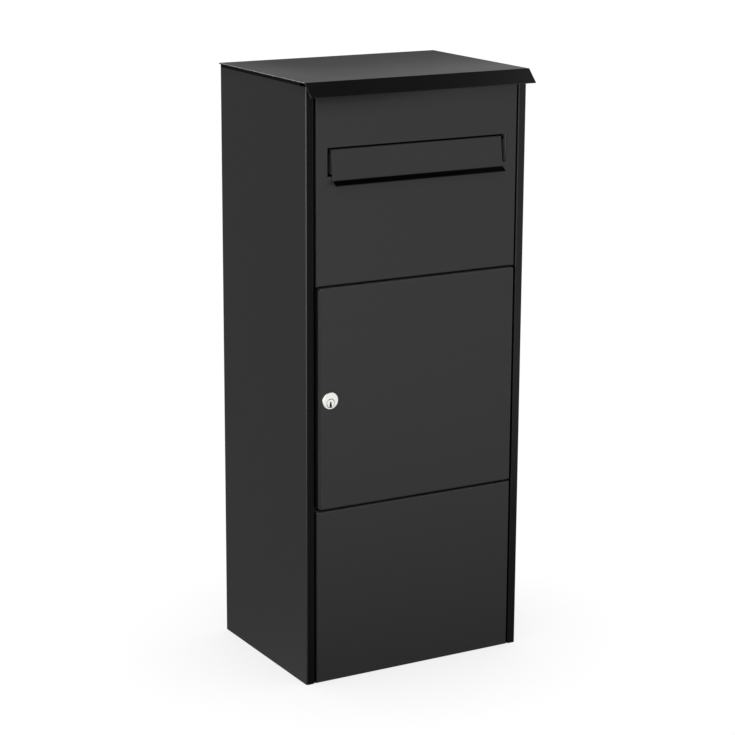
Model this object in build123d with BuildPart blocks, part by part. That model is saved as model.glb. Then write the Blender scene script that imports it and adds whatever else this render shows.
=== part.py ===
# Tall sheet-steel letter and parcel box: a folded cabinet with a fixed roof, a letter flap,
# a hinged door with a cam lock, and holes for fixing it to a wall or to the ground.
# Millimetres. X points right seen from the front, Y to the back, Z up.
# The origin is on the ground, under the middle of the cabinet.
import os
from math import hypot

from build123d import *

os.makedirs("parts", exist_ok=True)

# Driving dimensions: cabinet and sheet
body_width = 404.0
body_depth = 294.0
side_height = 976.0
sheet = 1.5
bend_radius = 2.5
corner_easing = 0.5
flange_width = 14.5
rebate_width = 11.5

# Driving dimensions: roof
roof_sheet = 2.0
roof_gap = 5.0
roof_side_overhang = 3.0
roof_fold_overhang = 3.0
roof_lip_reach = 20.0
roof_lip_drop = 20.0
roof_edge_round = 1.5
stud_radius = 2.5
stud_length = 12.0
stud_spacing = 170.0
stud_inset = 8.0
nut_flats = 8.0
nut_height = 4.0

# Driving dimensions: angles and shelf
rail_leg = 20.0
rail_setback = 4.0
shelf_drop = 2.0
shelf_flange = 15.0

# Driving dimensions: base and fixing holes
base_flange = 25.0
anchor_spacing_x = 280.0
anchor_spacing_y = 180.0
anchor_hole_radius = 5.5
wall_spacing_x = 260.0
wall_spacing_z = 480.0
wall_hole_radius = 4.5
wall_pattern_height = 590.0

# Driving dimensions: fixed front panels
panel_gap = 3.0
panel_proud = 0.9
panel_lip = 10.0
lower_panel_height = 291.5
rivet_radius = 2.0
rivet_head_radius = 4.0
rivet_head_height = 1.2
rivet_head_round = 0.6
rivet_bulb_radius = 2.6
rivet_end_margin = 40.0

# Driving dimensions: door
door_height = 362.6
door_depth = 18.0
door_proud = 5.9
door_side_gap = 6.5
door_top_gap = 2.0
door_bottom_gap = 5.0
door_lip = 5.0
buffer_width = 4.0
buffer_height = 20.0
buffer_end_margin = 40.0
stiffener_width = 44.0
stiffener_depth = 12.0
stiffener_foot = 16.0
stiffener_end_gap = 18.0

# Driving dimensions: door hinge
pin_radius = 2.5
pin_head_radius = 4.0
pin_head_height = 2.0
pin_reach = 6.0
bush_radius = 3.5
bush_flange_radius = 4.5
bush_length = 5.0
swing_clearance = 0.5
rebate_clearance = 1.2

# Driving dimensions: cylinder lock
lock_edge_gap = 1.6
lock_height = 180.9
lock_face_rim = 2.0
lock_face_height = 3.2
lock_face_round = 1.2
lock_barrel_wall = 1.0
lock_nut_wall = 3.0
lock_nut_height = 4.0
lock_nut_turn = 30.0
plug_radius = 7.0
plug_offset = 4.0
plug_proud = 0.3
plug_chamfer = 0.4
keyway_width = 2.4
keyway_height = 9.0
keyway_depth = 15.0
keyway_drop = 1.8
tang_width = 7.0
cam_thickness = 2.0
cam_rest_turn = 90.0
cam_width = 13.0
cam_hub_radius = 9.0
cam_reach = 28.0
cam_screw_radius = 2.0
cam_screw_length = 9.0
cam_screw_head_radius = 5.5
cam_screw_head_height = 2.4
cam_screw_head_round = 0.5
cam_screw_socket = 3.0
cam_screw_socket_depth = 1.6
strike_height = 50.0
strike_width = 18.0

# Driving dimensions: letter slot and flap
slot_side_margin = 20.0
slot_height = 45.3
slot_rise = 173.5
flap_side_gap = 8.5
flap_top_gap = 2.6
flap_cover = 7.5
flap_recess = 3.4
flap_clearance = 0.7
flap_lip_reach = 10.3
flap_lip_drop = 6.4
rod_radius = 2.0
rod_setback = 10.4
rod_drop = 6.0
rod_end = 3.0
rod_margin = 4.0
clip_radius = 3.2
clip_thickness = 0.8
bracket_foot = 13.0
bracket_rise = 11.0
flap_peg_radius = 2.0
flap_peg_spacing = 240.0
chute_foot = 20.0
chute_run = 50.0
chute_fall = 40.0
chute_side_gap = 8.0

# Clearances
running_fit = 0.05
seat_gap = 0.3
bearing_gap = 0.1

# Places worked out from the driving dimensions
half_width = body_width / 2
front = -body_depth / 2
back = body_depth / 2
inner_half = half_width - sheet
fold_radius = bend_radius - sheet / 2
pan_corner_radius = bend_radius + corner_easing
roof_under = side_height + roof_gap

doorway_half = half_width - flange_width
door_half = doorway_half - door_side_gap
door_front = front - door_proud
door_skin = door_front + sheet
door_back = door_front + door_depth

# The hinge axis lies far enough back for its bush to stand inside the front pans, and far enough
# from the door's edge for the door's front corner to swing past the flange.
hinge_setback = door_proud - panel_proud + bend_radius + bush_radius
swing_room = door_side_gap - swing_clearance
hinge_inset = (hinge_setback**2 - swing_room**2) / (2 * swing_room)
hinge_x = door_half - hinge_inset
hinge_y = door_front + hinge_setback

# The rebates stand behind the circle in which the door's rear corner swings.
rear_swing = hypot(hinge_inset, door_back - hinge_y)
rebate_front = hinge_y + rear_swing + rebate_clearance
rebate_back = rebate_front + sheet
rebate_inner = doorway_half - rebate_width
back_inner = back - sheet

panel_half = doorway_half - panel_gap
panel_front = front - panel_proud
panel_inner = panel_front + sheet
rivet_x = rebate_inner + rivet_head_radius

door_bottom = lower_panel_height + door_bottom_gap
door_top = door_bottom + door_height
door_middle = (door_bottom + door_top) / 2
upper_panel_bottom = door_top + door_top_gap
upper_panel_height = roof_under - upper_panel_bottom

rivet_heights = [
    rivet_end_margin,
    lower_panel_height / 2,
    lower_panel_height - rivet_end_margin,
    upper_panel_bottom + rivet_end_margin,
    upper_panel_bottom + upper_panel_height / 2,
    roof_under - rivet_end_margin,
]

lock_barrel_radius = plug_offset + plug_radius + lock_barrel_wall
lock_face_radius = lock_barrel_radius + lock_face_rim
lock_nut_half = lock_barrel_radius + lock_nut_wall
lock_x = -(door_half - sheet - lock_edge_gap - lock_nut_half)
lock_z = door_bottom + lock_height
plug_z = lock_z - plug_offset
lock_front = door_front - lock_face_height
strike_back = rebate_back + sheet
cam_front = strike_back + seat_gap
cam_back = cam_front + cam_thickness
barrel_back = cam_front - seat_gap

slot_half = panel_half - slot_side_margin
slot_bottom = upper_panel_bottom + slot_rise
slot_top = slot_bottom + slot_height
flap_half = slot_half - flap_side_gap
flap_top = slot_top - flap_top_gap
flap_bottom = slot_bottom - flap_cover
flap_height = flap_top - flap_bottom
flap_slope = (flap_recess + sheet + flap_clearance) / (flap_top - slot_bottom)
flap_lean = flap_slope * flap_height
rod_y = panel_front + rod_setback
rod_z = flap_top - rod_drop
bracket_x = slot_half + running_fit

# Side panels: one sheet folded into side, front flange, return and door rebate, seam-welded to the back
with BuildPart() as left_side_panel:
    with BuildSketch(Plane.XY):
        with BuildLine():
            FilletPolyline(
                (-rebate_inner, rebate_front + sheet / 2),
                (-doorway_half - sheet / 2, rebate_front + sheet / 2),
                (-doorway_half - sheet / 2, front + sheet / 2),
                (-half_width + sheet / 2, front + sheet / 2),
                (-half_width + sheet / 2, back_inner),
                radius=fold_radius,
            )
        trace(line_width=sheet)
    extrude(amount=side_height)
    with BuildSketch(Plane.XZ.offset(-rebate_back)):
        with Locations(*[(-rivet_x, z) for z in rivet_heights]):
            Circle(rivet_radius + running_fit)
    extrude(amount=sheet, mode=Mode.SUBTRACT)

with BuildPart() as right_side_panel:
    mirror(left_side_panel.part, about=Plane.YZ)

# Back panel: a flat sheet across the sides' rear edges, with the four wall holes
with BuildPart() as back_panel:
    with BuildSketch(Plane.XZ.offset(-back)):
        Rectangle(body_width, roof_under, align=(Align.CENTER, Align.MIN))
        with Locations((0, wall_pattern_height)):
            with GridLocations(wall_spacing_x, wall_spacing_z, 2, 2):
                Circle(wall_hole_radius, mode=Mode.SUBTRACT)
    extrude(amount=sheet)

# Base plate: a pan with upturned flanges between the sides, with the four anchor holes
base_middle = (rebate_back + back_inner) / 2
with BuildPart() as base_plate:
    with BuildSketch(Plane.XY):
        with Locations((0, base_middle)):
            RectangleRounded(2 * inner_half, back_inner - rebate_back, pan_corner_radius)
    extrude(amount=base_flange)
    fillet(base_plate.faces().sort_by(Axis.Z)[0].edges(), radius=bend_radius)
    offset(amount=-sheet, openings=base_plate.faces().sort_by(Axis.Z)[-1])
    with BuildSketch(Plane.XY):
        with GridLocations(anchor_spacing_x, anchor_spacing_y, 2, 2):
            Circle(anchor_hole_radius)
    extrude(amount=sheet, mode=Mode.SUBTRACT)

# Roof: a flat sheet whose front edge is folded down and outwards as a drip lip, with eased ends and weld studs
stud_x = inner_half - stud_inset
roof_fold = front - roof_fold_overhang
with BuildPart() as roof:
    with BuildSketch(Plane.YZ.offset(-half_width - roof_side_overhang)):
        with BuildLine():
            FilletPolyline(
                (back, roof_under + roof_sheet / 2),
                (roof_fold, roof_under + roof_sheet / 2),
                (roof_fold - roof_lip_reach, roof_under + roof_sheet / 2 - roof_lip_drop),
                radius=bend_radius,
            )
        trace(line_width=roof_sheet)
    extrude(amount=body_width + 2 * roof_side_overhang)
    fillet(roof.faces().filter_by(Axis.X).edges().sort_by(Axis.Z)[-2:], radius=roof_edge_round)
    with BuildSketch(Plane.XY.offset(roof_under)):
        with GridLocations(2 * stud_x, stud_spacing, 2, 2):
            Circle(stud_radius)
    extrude(amount=-stud_length)

# Roof rails: angles along the top of each side that carry the roof
rail_length = back_inner - rebate_back - 2 * rail_setback
with BuildPart() as left_roof_rail:
    with BuildSketch(Plane.XZ.offset(-back_inner + rail_setback)):
        with BuildLine():
            FilletPolyline(
                (-inner_half + sheet / 2, roof_under - rail_leg - roof_gap),
                (-inner_half + sheet / 2, roof_under - sheet / 2),
                (-inner_half + rail_leg, roof_under - sheet / 2),
                radius=fold_radius,
            )
        trace(line_width=sheet)
    extrude(amount=rail_length)
    with BuildSketch(Plane.XY.offset(roof_under)):
        with GridLocations(2 * stud_x, stud_spacing, 2, 2):
            Circle(stud_radius + seat_gap)
    extrude(amount=-sheet, mode=Mode.SUBTRACT)

with BuildPart() as right_roof_rail:
    mirror(left_roof_rail.part, about=Plane.YZ)

with BuildPart() as roof_nuts:
    with BuildSketch(Plane.XY.offset(roof_under - sheet)):
        with GridLocations(2 * stud_x, stud_spacing, 2, 2):
            RegularPolygon(nut_flats / 2, 6, major_radius=False)
            Circle(stud_radius + running_fit, mode=Mode.SUBTRACT)
    extrude(amount=-nut_height)

# Upper front panel: a pan with the letter slot, the hinge bush hole and riveting lips at its sides
with BuildPart() as upper_front_panel:
    with BuildSketch(Plane.XZ.offset(-rebate_front)):
        with Locations((0, upper_panel_bottom)):
            Rectangle(2 * panel_half, upper_panel_height, align=(Align.CENTER, Align.MIN))
    extrude(amount=rebate_front - panel_front)
    fillet(upper_front_panel.faces().sort_by(Axis.Y)[0].edges(), radius=bend_radius)
    offset(amount=-sheet, openings=upper_front_panel.faces().sort_by(Axis.Y)[-1])
    with BuildSketch(Plane.XZ.offset(-rebate_front)):
        with Locations((0, upper_panel_bottom)):
            Rectangle(2 * panel_half, upper_panel_height, align=(Align.CENTER, Align.MIN))
            Rectangle(
                2 * (panel_half - panel_lip),
                upper_panel_height,
                align=(Align.CENTER, Align.MIN),
                mode=Mode.SUBTRACT,
            )
        with Locations(*[(side * rivet_x, z) for side in (-1, 1) for z in rivet_heights]):
            Circle(rivet_radius + running_fit, mode=Mode.SUBTRACT)
    extrude(amount=sheet)
    with BuildSketch(Plane.XZ.offset(-panel_front)):
        with Locations((0, slot_bottom)):
            Rectangle(2 * slot_half, slot_height, align=(Align.CENTER, Align.MIN))
    extrude(amount=-sheet, mode=Mode.SUBTRACT)
    with BuildSketch(Plane.XY.offset(upper_panel_bottom)):
        with Locations((hinge_x, hinge_y)):
            Circle(bush_radius + running_fit)
    extrude(amount=sheet, mode=Mode.SUBTRACT)

# Lower front panel: a plain pan of the same make
with BuildPart() as lower_front_panel:
    with BuildSketch(Plane.XZ.offset(-rebate_front)):
        Rectangle(2 * panel_half, lower_panel_height, align=(Align.CENTER, Align.MIN))
    extrude(amount=rebate_front - panel_front)
    fillet(lower_front_panel.faces().sort_by(Axis.Y)[0].edges(), radius=bend_radius)
    offset(amount=-sheet, openings=lower_front_panel.faces().sort_by(Axis.Y)[-1])
    with BuildSketch(Plane.XZ.offset(-rebate_front)):
        Rectangle(2 * panel_half, lower_panel_height, align=(Align.CENTER, Align.MIN))
        Rectangle(
            2 * (panel_half - panel_lip),
            lower_panel_height,
            align=(Align.CENTER, Align.MIN),
            mode=Mode.SUBTRACT,
        )
        with Locations(*[(side * rivet_x, z) for side in (-1, 1) for z in rivet_heights]):
            Circle(rivet_radius + running_fit, mode=Mode.SUBTRACT)
    extrude(amount=sheet)
    with BuildSketch(Plane.XY.offset(lower_panel_height)):
        with Locations((hinge_x, hinge_y)):
            Circle(bush_radius + running_fit)
    extrude(amount=-sheet, mode=Mode.SUBTRACT)

# Panel rivets: blind rivets through the pans' lips and the rebates, with their domes inside the cabinet
with BuildPart() as panel_rivets:
    with BuildSketch(Plane.XZ.offset(-rebate_back)):
        with Locations(*[(side * rivet_x, z) for side in (-1, 1) for z in rivet_heights]):
            Circle(rivet_radius)
    extrude(amount=2 * sheet)
    with BuildSketch(Plane.XZ.offset(-rebate_back)):
        with Locations(*[(side * rivet_x, z) for side in (-1, 1) for z in rivet_heights]):
            Circle(rivet_head_radius)
    extrude(amount=-rivet_head_height)
    fillet(panel_rivets.faces().group_by(Axis.Y)[-1].edges(), radius=rivet_head_round)
    with BuildSketch(Plane.XZ.offset(-rebate_back + 2 * sheet)):
        with Locations(*[(side * rivet_x, z) for side in (-1, 1) for z in rivet_heights]):
            Circle(rivet_bulb_radius)
    extrude(amount=rivet_head_height)

# Mail shelf: the compartment's floor, a sheet with its front and rear edges turned down
shelf_top = lower_panel_height - shelf_drop
with BuildPart() as mail_shelf:
    with BuildSketch(Plane.YZ.offset(-inner_half + seat_gap)):
        with BuildLine():
            FilletPolyline(
                (rebate_back + seat_gap + rivet_head_height + sheet / 2, shelf_top - shelf_flange),
                (rebate_back + seat_gap + rivet_head_height + sheet / 2, shelf_top - sheet / 2),
                (back_inner - seat_gap - sheet / 2, shelf_top - sheet / 2),
                (back_inner - seat_gap - sheet / 2, shelf_top - shelf_flange),
                radius=fold_radius,
            )
        trace(line_width=sheet)
    extrude(amount=2 * (inner_half - seat_gap))

# Shelf rails: angles on the sides that the shelf lies on
with BuildPart() as left_shelf_rail:
    with BuildSketch(Plane.XZ.offset(-back_inner + rail_setback)):
        with BuildLine():
            FilletPolyline(
                (-inner_half + sheet / 2, shelf_top - sheet - rail_leg),
                (-inner_half + sheet / 2, shelf_top - sheet - sheet / 2),
                (-inner_half + rail_leg, shelf_top - sheet - sheet / 2),
                radius=fold_radius,
            )
        trace(line_width=sheet)
    extrude(amount=rail_length - rivet_head_height)

with BuildPart() as right_shelf_rail:
    mirror(left_shelf_rail.part, about=Plane.YZ)

# Letter chute: a sheet under the slot that leads the mail backwards and down
chute_half = slot_half + chute_side_gap
chute_y = panel_inner + sheet / 2
with BuildPart() as letter_chute:
    with BuildSketch(Plane.YZ.offset(-chute_half)):
        with BuildLine():
            FilletPolyline(
                (chute_y, slot_bottom - sheet - chute_foot),
                (chute_y, slot_bottom - sheet),
                (chute_y + chute_run, slot_bottom - sheet - chute_fall),
                radius=fold_radius,
            )
        trace(line_width=sheet)
    extrude(amount=2 * chute_half)

# Flap brackets: angles behind the panel, along the ends of the slot, that hold the flap's rod
bracket_height = rod_z + bracket_rise - slot_bottom
with BuildPart() as left_flap_bracket:
    with BuildSketch(Plane.XY.offset(slot_bottom)):
        with BuildLine():
            FilletPolyline(
                (-bracket_x - bracket_foot, panel_inner + sheet / 2),
                (-bracket_x - sheet / 2, panel_inner + sheet / 2),
                (-bracket_x - sheet / 2, rod_y + rod_radius + rod_margin),
                radius=fold_radius,
            )
        trace(line_width=sheet)
    extrude(amount=bracket_height)
    with BuildSketch(Plane.YZ.offset(-bracket_x)):
        with Locations((rod_y, rod_z)):
            Circle(rod_radius + running_fit)
    extrude(amount=-sheet, mode=Mode.SUBTRACT)

with BuildPart() as right_flap_bracket:
    mirror(left_flap_bracket.part, about=Plane.YZ)

# Letter flap: top edge turned in, face leaning outwards, finger lip at the bottom, cheeks at the ends
flap_rear = rod_y + rod_radius + rod_margin / 2
flap_face = panel_front + flap_recess + sheet / 2
flap_crest = (flap_face, flap_top - sheet / 2)
flap_foot = (flap_face - flap_lean, flap_bottom + sheet / 2)
with BuildPart() as letter_flap:
    with BuildSketch(Plane.YZ.offset(-flap_half)):
        with BuildLine():
            FilletPolyline(
                (flap_rear, flap_top - sheet / 2),
                flap_crest,
                flap_foot,
                (flap_foot[0] - flap_lip_reach, flap_foot[1] - flap_lip_drop),
                radius=fold_radius,
            )
        trace(line_width=sheet)
    extrude(amount=2 * flap_half)
    for cheek_plane, inward in ((Plane.YZ.offset(-flap_half), sheet), (Plane.YZ.offset(flap_half), -sheet)):
        with BuildSketch(cheek_plane):
            with BuildLine():
                Polyline(
                    (flap_crest[0] + sheet, flap_crest[1]),
                    (flap_foot[0], flap_foot[1] + sheet),
                    (panel_front - seat_gap, flap_foot[1] + sheet),
                    (panel_front - seat_gap, slot_bottom + seat_gap + sheet),
                    (flap_rear, slot_bottom + rod_margin),
                    (flap_rear, flap_crest[1]),
                    close=True,
                )
            make_face()
        extrude(amount=inward)
    with BuildSketch(Plane.YZ.offset(-flap_half)):
        with Locations((rod_y, rod_z)):
            Circle(rod_radius + running_fit)
    extrude(amount=2 * flap_half, mode=Mode.SUBTRACT)

rod_half = bracket_x + sheet + rod_end
with BuildPart() as flap_hinge_rod:
    with BuildSketch(Plane.YZ.offset(-rod_half)):
        with Locations((rod_y, rod_z)):
            Circle(rod_radius)
    extrude(amount=2 * rod_half)

clip_x = bracket_x + sheet + seat_gap
with BuildPart() as flap_rod_clips:
    for clip_plane in (Plane.YZ.offset(clip_x), Plane.YZ.offset(-clip_x - clip_thickness)):
        with BuildSketch(clip_plane):
            with Locations((rod_y, rod_z)):
                Circle(clip_radius)
                Circle(rod_radius + running_fit, mode=Mode.SUBTRACT)
        extrude(amount=clip_thickness)

# Flap buffers: rubber pegs on the panel that the closed flap rests against
peg_z = (slot_bottom + flap_bottom) / 2
peg_reach = flap_slope * (flap_top - peg_z - flap_peg_radius) - flap_recess - sheet * hypot(1, flap_slope) - seat_gap
with BuildPart() as flap_buffers:
    with BuildSketch(Plane.XZ.offset(-panel_front)):
        with Locations((0, peg_z)):
            with GridLocations(flap_peg_spacing, flap_height, 2, 1):
                Circle(flap_peg_radius)
    extrude(amount=peg_reach)

# Door panel: a pan with rounded corners and a narrow rear lip, with holes for the pins and the lock
with BuildPart() as door_panel:
    with BuildSketch(Plane.XZ.offset(-door_back)):
        with Locations((0, door_middle)):
            RectangleRounded(2 * door_half, door_height, pan_corner_radius)
    extrude(amount=door_back - door_front)
    fillet(door_panel.faces().sort_by(Axis.Y)[0].edges(), radius=bend_radius)
    offset(amount=-sheet, openings=door_panel.faces().sort_by(Axis.Y)[-1])
    with BuildSketch(Plane.XZ.offset(-door_back)):
        with Locations((0, door_middle)):
            RectangleRounded(2 * door_half, door_height, pan_corner_radius)
            Rectangle(2 * (door_half - door_lip), door_height - 2 * door_lip, mode=Mode.SUBTRACT)
    extrude(amount=sheet)
    with BuildSketch(Plane.XY.offset(door_bottom)):
        with Locations((hinge_x, hinge_y)):
            Circle(pin_radius + running_fit)
    extrude(amount=door_height, mode=Mode.SUBTRACT)
    with BuildSketch(Plane.XZ.offset(-door_front)):
        with Locations((lock_x, lock_z)):
            Circle(lock_barrel_radius + running_fit)
    extrude(amount=-sheet, mode=Mode.SUBTRACT)

# Door stiffener: a hat channel on the inside of the door
stiffener_half = stiffener_width / 2
with BuildPart() as door_stiffener:
    with BuildSketch(Plane.XY.offset(door_bottom + stiffener_end_gap)):
        with BuildLine():
            FilletPolyline(
                (-stiffener_half - stiffener_foot, door_skin + sheet / 2),
                (-stiffener_half, door_skin + sheet / 2),
                (-stiffener_half, door_skin + stiffener_depth - sheet / 2),
                (stiffener_half, door_skin + stiffener_depth - sheet / 2),
                (stiffener_half, door_skin + sheet / 2),
                (stiffener_half + stiffener_foot, door_skin + sheet / 2),
                radius=fold_radius,
            )
        trace(line_width=sheet)
    extrude(amount=door_height - 2 * stiffener_end_gap)

# Door hinge: headed pins through the door's top and bottom folds, running in flanged bushes
with BuildPart() as upper_hinge_pin:
    with BuildSketch(Plane.XY.offset(door_top - sheet)):
        with Locations((hinge_x, hinge_y)):
            Circle(pin_head_radius)
    extrude(amount=-pin_head_height)
    with BuildSketch(Plane.XY.offset(door_top - sheet)):
        with Locations((hinge_x, hinge_y)):
            Circle(pin_radius)
    extrude(amount=sheet + door_top_gap + pin_reach)

with BuildPart() as lower_hinge_pin:
    with BuildSketch(Plane.XY.offset(door_bottom + sheet)):
        with Locations((hinge_x, hinge_y)):
            Circle(pin_head_radius)
    extrude(amount=pin_head_height)
    with BuildSketch(Plane.XY.offset(door_bottom + sheet)):
        with Locations((hinge_x, hinge_y)):
            Circle(pin_radius)
    extrude(amount=-sheet - door_bottom_gap - pin_reach)

with BuildPart() as upper_hinge_bush:
    with BuildSketch(Plane.XY.offset(upper_panel_bottom)):
        with Locations((hinge_x, hinge_y)):
            Circle(bush_flange_radius)
    extrude(amount=-door_top_gap + seat_gap)
    with BuildSketch(Plane.XY.offset(upper_panel_bottom)):
        with Locations((hinge_x, hinge_y)):
            Circle(bush_radius)
    extrude(amount=bush_length)
    with BuildSketch(Plane.XY.offset(door_top)):
        with Locations((hinge_x, hinge_y)):
            Circle(pin_radius + running_fit)
    extrude(amount=door_top_gap + bush_length, mode=Mode.SUBTRACT)

with BuildPart() as lower_hinge_bush:
    with BuildSketch(Plane.XY.offset(lower_panel_height)):
        with Locations((hinge_x, hinge_y)):
            Circle(bush_flange_radius)
    extrude(amount=door_bottom_gap - bearing_gap)
    with BuildSketch(Plane.XY.offset(lower_panel_height)):
        with Locations((hinge_x, hinge_y)):
            Circle(bush_radius)
    extrude(amount=-bush_length)
    with BuildSketch(Plane.XY.offset(door_bottom)):
        with Locations((hinge_x, hinge_y)):
            Circle(pin_radius + running_fit)
    extrude(amount=-door_bottom_gap - bush_length, mode=Mode.SUBTRACT)

# Door buffers: rubber pads on the left rebate that the door's lip closes against
buffer_x = -(rebate_inner + door_half) / 2
buffer_spread = door_height - 2 * buffer_end_margin
with BuildPart() as door_buffers:
    with BuildSketch(Plane.XZ.offset(-rebate_front)):
        with Locations((buffer_x, door_middle)):
            with GridLocations(buffer_width, buffer_spread, 1, 2):
                Rectangle(buffer_width, buffer_height)
    extrude(amount=rebate_front - door_back - seat_gap)

# Strike plate: a stiffening plate behind the left rebate that the turned cam catches
with BuildPart() as strike_plate:
    with BuildSketch(Plane.XZ.offset(-strike_back)):
        with Locations((-rebate_inner, plug_z)):
            Rectangle(strike_width, strike_height, align=(Align.MAX, Align.CENTER))
    extrude(amount=sheet)

# Lock housing: a round face on the door and a barrel through it, bored off-centre for the plug
with BuildPart() as lock_housing:
    with BuildSketch(Plane.XZ.offset(-door_front)):
        with Locations((lock_x, lock_z)):
            Circle(lock_face_radius)
    extrude(amount=lock_face_height)
    fillet(lock_housing.faces().sort_by(Axis.Y)[0].edges(), radius=lock_face_round)
    with BuildSketch(Plane.XZ.offset(-door_front)):
        with Locations((lock_x, lock_z)):
            Circle(lock_barrel_radius)
    extrude(amount=door_front - barrel_back)
    with BuildSketch(Plane.XZ.offset(-lock_front)):
        with Locations((lock_x, plug_z)):
            Circle(plug_radius + running_fit)
    extrude(amount=lock_front - barrel_back, mode=Mode.SUBTRACT)
    bore_rim = lock_housing.edges().filter_by(GeomType.CIRCLE).group_by(Axis.Y)[0].sort_by(SortBy.RADIUS)[0]
    chamfer(bore_rim, length=plug_chamfer)

with BuildPart() as lock_nut:
    with BuildSketch(Plane.XZ.offset(-door_skin)):
        with Locations((lock_x, lock_z)):
            RegularPolygon(lock_nut_half, 6, major_radius=False, rotation=lock_nut_turn)
            Circle(lock_barrel_radius + running_fit, mode=Mode.SUBTRACT)
    extrude(amount=-lock_nut_height)

# Lock plug: the turning core, with its keyway in front and a square tang for the cam behind
with BuildPart() as lock_plug:
    with BuildSketch(Plane.XZ.offset(-cam_front)):
        with Locations((lock_x, plug_z)):
            Circle(plug_radius)
    extrude(amount=cam_front - lock_front + plug_proud)
    chamfer(lock_plug.faces().sort_by(Axis.Y)[0].edges(), length=plug_chamfer)
    with BuildSketch(Plane.XZ.offset(-lock_front + plug_proud)):
        with Locations((lock_x, plug_z - keyway_drop)):
            Rectangle(keyway_width, keyway_height)
    extrude(amount=-keyway_depth, mode=Mode.SUBTRACT)
    with BuildSketch(Plane.XZ.offset(-cam_front)):
        with Locations((lock_x, plug_z)):
            Rectangle(tang_width, tang_width)
    extrude(amount=bearing_gap - cam_thickness)
    with BuildSketch(Plane.XZ.offset(-cam_back)):
        with Locations((lock_x, plug_z)):
            Circle(cam_screw_radius + running_fit)
    extrude(amount=cam_screw_length + seat_gap, mode=Mode.SUBTRACT)

# Lock cam: a flat bar on the tang, hanging down while the lock is open
cam_arm = cam_reach - cam_width / 2
with BuildPart() as lock_cam:
    with BuildSketch(Plane.XZ.offset(-cam_front)):
        with Locations((lock_x, plug_z - cam_arm / 2)):
            SlotCenterToCenter(cam_arm, cam_width, rotation=cam_rest_turn)
        with Locations((lock_x, plug_z)):
            Circle(cam_hub_radius)
            Rectangle(tang_width + 2 * running_fit, tang_width + 2 * running_fit, mode=Mode.SUBTRACT)
    extrude(amount=-cam_thickness)

with BuildPart() as cam_screw:
    with BuildSketch(Plane.XZ.offset(-cam_back)):
        with Locations((lock_x, plug_z)):
            Circle(cam_screw_head_radius)
    extrude(amount=-cam_screw_head_height)
    fillet(cam_screw.faces().sort_by(Axis.Y)[-1].edges(), radius=cam_screw_head_round)
    with BuildSketch(Plane.XZ.offset(-cam_back - cam_screw_head_height)):
        with Locations((lock_x, plug_z)):
            RegularPolygon(cam_screw_socket / 2, 6, major_radius=False)
    extrude(amount=cam_screw_socket_depth, mode=Mode.SUBTRACT)
    with BuildSketch(Plane.XZ.offset(-cam_back)):
        with Locations((lock_x, plug_z)):
            Circle(cam_screw_radius)
    extrude(amount=cam_screw_length)

# Each piece is labelled and written under its own name
pieces = {
    "left_side_panel": left_side_panel,
    "right_side_panel": right_side_panel,
    "back_panel": back_panel,
    "base_plate": base_plate,
    "roof": roof,
    "left_roof_rail": left_roof_rail,
    "right_roof_rail": right_roof_rail,
    "roof_nuts": roof_nuts,
    "upper_front_panel": upper_front_panel,
    "lower_front_panel": lower_front_panel,
    "panel_rivets": panel_rivets,
    "mail_shelf": mail_shelf,
    "left_shelf_rail": left_shelf_rail,
    "right_shelf_rail": right_shelf_rail,
    "letter_chute": letter_chute,
    "left_flap_bracket": left_flap_bracket,
    "right_flap_bracket": right_flap_bracket,
    "flap_buffers": flap_buffers,
    "upper_hinge_bush": upper_hinge_bush,
    "lower_hinge_bush": lower_hinge_bush,
    "strike_plate": strike_plate,
    "door_buffers": door_buffers,
    "door_panel": door_panel,
    "door_stiffener": door_stiffener,
    "upper_hinge_pin": upper_hinge_pin,
    "lower_hinge_pin": lower_hinge_pin,
    "lock_housing": lock_housing,
    "lock_nut": lock_nut,
    "lock_plug": lock_plug,
    "lock_cam": lock_cam,
    "cam_screw": cam_screw,
    "letter_flap": letter_flap,
    "flap_hinge_rod": flap_hinge_rod,
    "flap_rod_clips": flap_rod_clips,
}
for node, piece in pieces.items():
    piece.part.label = node
    export_step(piece.part, f"parts/{node}.step")
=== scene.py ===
# %% [markdown]
# # A black sheet-steel letter and parcel box
# The box is folded from thin steel and powder-coated black, with one bright cylinder lock in its door.
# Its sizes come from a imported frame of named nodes, so nothing is fitted here. This lesson gives each
# node its finish, adds the small turned and welded details that the frame leaves plain, and lights the
# box.

import bmesh
import bpy
import numpy as np
from mathutils import Matrix, Vector


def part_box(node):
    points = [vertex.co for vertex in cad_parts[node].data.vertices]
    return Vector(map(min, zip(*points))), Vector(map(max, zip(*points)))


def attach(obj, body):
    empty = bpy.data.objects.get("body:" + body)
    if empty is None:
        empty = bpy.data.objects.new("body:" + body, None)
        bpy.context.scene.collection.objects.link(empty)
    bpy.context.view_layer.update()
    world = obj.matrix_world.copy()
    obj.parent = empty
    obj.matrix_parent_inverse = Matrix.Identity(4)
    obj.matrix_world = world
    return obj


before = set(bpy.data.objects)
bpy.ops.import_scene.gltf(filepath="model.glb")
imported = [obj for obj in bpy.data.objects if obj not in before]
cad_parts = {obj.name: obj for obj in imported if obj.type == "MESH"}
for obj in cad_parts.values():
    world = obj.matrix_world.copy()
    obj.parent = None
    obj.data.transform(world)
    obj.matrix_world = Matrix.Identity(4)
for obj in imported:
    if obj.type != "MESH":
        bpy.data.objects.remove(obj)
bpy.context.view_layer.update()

# %% [markdown]
# ## The camera
# The picture was taken from the box's front left, a little above its roof, with a long lens held a
# quarter of a degree off level. A camera could be aimed by eye, but a place, three angles and a focal
# length say the same thing in a few numbers that can be read and changed.

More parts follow.
